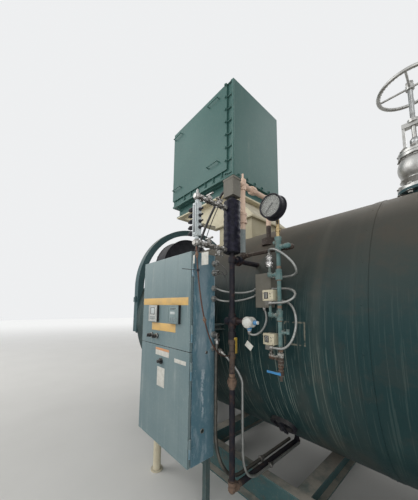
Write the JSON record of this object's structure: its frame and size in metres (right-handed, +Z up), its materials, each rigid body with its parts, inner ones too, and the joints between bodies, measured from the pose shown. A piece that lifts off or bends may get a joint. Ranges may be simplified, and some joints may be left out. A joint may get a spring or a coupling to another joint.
{
  "type": "packaged firetube steam boiler",
  "caption": "Horizontal firetube boiler on a skid with burner head, economizer box, control cabinet, water column and pressure controls.",
  "frame": {"origin": "middle of the anchor bolt rectangle on the underside of the skid rails, below the boiler's axis", "axes": "+X along the boiler towards its rear door, the burner end at -X; +Z up; the cabinet is on the -Y side"},
  "size_m": [5.655, 2.66, 4.59],
  "materials": {
    "skid_paint": "dull teal paint, dusty on upper faces",
    "jacket_paint": "aged paint under brown dust, with pale drip stains",
    "casing_paint": "satin teal paint",
    "cabinet_paint": "worn pale teal paint with scrapes",
    "khaki_paint": "dusty khaki heat resistant paint",
    "cream_paint": "dusty cream paint",
    "black_iron": "black painted cast iron, rubbed at its edges",
    "rusty_pipe": "brown pipe with rust",
    "peach_pipe": "faded pinkish paint",
    "bare_steel": "dull plated steel",
    "aluminium_paint": "silver paint",
    "cream_plastic": "aged enclosure",
    "grey_plastic": "instrument bezel",
    "white_plastic": "aged white",
    "black_plastic": "black knob",
    "yellow_grip": "dipped yellow grip",
    "blue_grip": "dipped blue grip",
    "olive_paint": "grey brown dusty paint"
  },
  "bodies": {
    "boiler": {"skid_rails": "skid_paint", "skid_cross_beams": "skid_paint", "saddles": "skid_paint", "boiler_shell": "jacket_paint", "jacket_bands": "jacket_paint", "front_head": "casing_paint", "front_arch": "casing_paint", "burner_housing": "casing_paint", "fan_housing": "black_iron", "fan_motor": "cabinet_paint", "rear_door": "casing_paint", "flue_outlet": "khaki_paint", "flue_transition": "cream_paint", "economizer_frame": "casing_paint", "economizer_casing": "casing_paint", "access_panel": "casing_paint", "panel_handles": "casing_paint", "stack_collar": "bare_steel", "cabinet_body": "cabinet_paint", "cabinet_hinge_pins": "bare_steel", "cabinet_glands": "bare_steel", "cabinet_stand": "cream_paint", "disconnect_switch": "black_plastic", "water_column": "black_iron", "column_switch": "olive_paint", "gauge_glass": "bare_steel", "gauge_valves": "bare_steel", "steam_equalizing_pipe": "peach_pipe", "column_drain_pipe": "rusty_pipe", "gauge_drain_tube": "rusty_pipe", "pressure_gauge": "black_iron", "control_manifold": "casing_paint", "pressure_controls": "cream_plastic", "pressure_sensor": "bare_steel", "junction_box": "olive_paint", "pressure_transmitter": "white_plastic", "control_conduits": "bare_steel", "drop_conduit": "black_plastic", "handhole_cover": "skid_paint", "steam_nozzle": "jacket_paint", "steam_stop_valve": "aluminium_paint"},
    "upper_door": {"upper_door": "cabinet_paint", "door_instruments": "grey_plastic"},
    "lower_door": {"lower_door": "cabinet_paint", "door_latch": "black_plastic"},
    "drain_lever": {"drain_valve_lever": "yellow_grip"},
    "manifold_lever": {"manifold_valve_lever": "blue_grip"},
    "handwheel": {"steam_handwheel": "aluminium_paint"}
  },
  "joints": [
    {"name": "upper_door_hinge", "type": "hinge", "parent": "boiler", "child": "upper_door", "pos_m": [-0.4775, -1.448, 1.788], "axis": [0, 0, 1], "range_deg": [0, 105]},
    {"name": "lower_door_hinge", "type": "hinge", "parent": "boiler", "child": "lower_door", "pos_m": [-0.4775, -1.448, 0.543], "axis": [0, 0, 1], "range_deg": [0, 105]},
    {"name": "drain_lever_turn", "type": "hinge", "parent": "boiler", "child": "drain_lever", "pos_m": [-0.262, -1.222, 1.281], "axis": [-1, 0, 0], "range_deg": [0, 90]},
    {"name": "manifold_lever_turn", "type": "hinge", "parent": "boiler", "child": "manifold_lever", "pos_m": [0.04, -1.165, 1.098], "axis": [0, -1, 0], "range_deg": [0, 90]},
    {"name": "handwheel_turn", "type": "hinge", "parent": "boiler", "child": "handwheel", "pos_m": [0.66, 0, 3.41], "axis": [0, 0, 1], "continuous": true}
  ]
}
